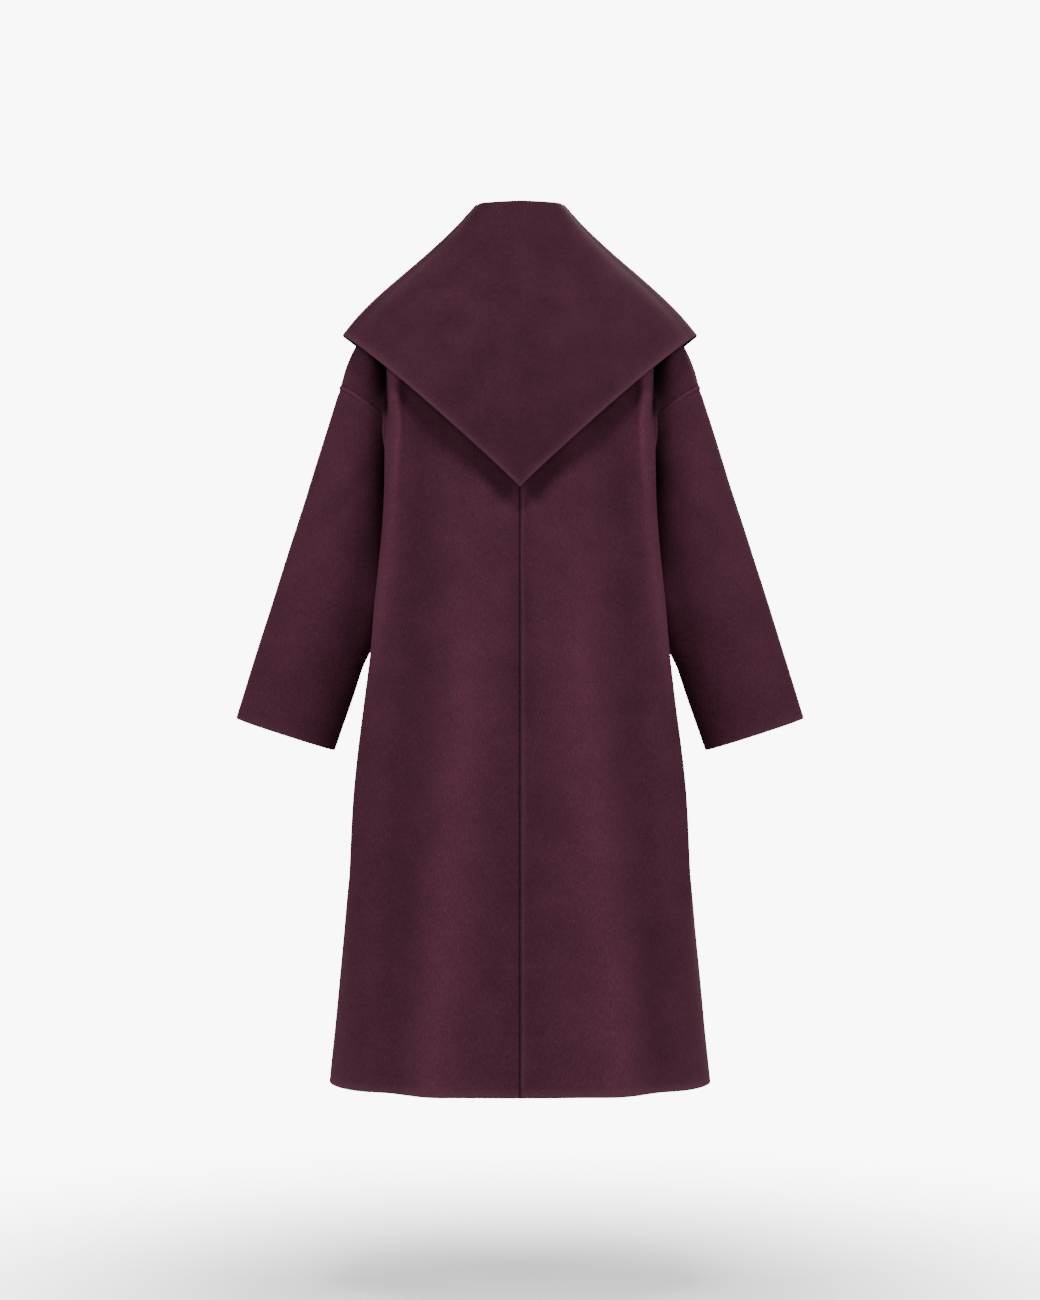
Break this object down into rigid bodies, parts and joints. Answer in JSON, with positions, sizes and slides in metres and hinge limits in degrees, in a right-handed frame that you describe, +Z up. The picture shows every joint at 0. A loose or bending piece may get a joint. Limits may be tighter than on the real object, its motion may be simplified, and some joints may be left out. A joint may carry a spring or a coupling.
{
  "type": "double-breasted coat",
  "caption": "Long double-breasted wool coat with a pointed cape collar, wide dropped sleeves and a flared skirt, hollow as worn, open at neck, cuffs and hem",
  "frame": {"origin": "base of the neck, at the centre of the neck opening, where the wearer's shoulders hold the coat up", "axes": "+X to the wearer's left, +Y behind the wearer, +Z up; the front faces -Y"},
  "size_m": [0.7762, 0.349, 1.1861],
  "materials": {
    "wool": "brushed double-faced wool, dark plum, matt with a short nap",
    "button": "dark plum resin, satin"
  },
  "bodies": {
    "root": {"back_left": "wool", "back_right": "wool", "front_left": "wool", "front_right": "wool", "sleeve_left": "wool", "sleeve_right": "wool", "collar": "wool", "button_inner_1": "button", "button_inner_2": "button", "button_inner_3": "button", "button_outer_1": "button", "button_outer_2": "button", "button_outer_3": "button"}
  },
  "joints": []
}
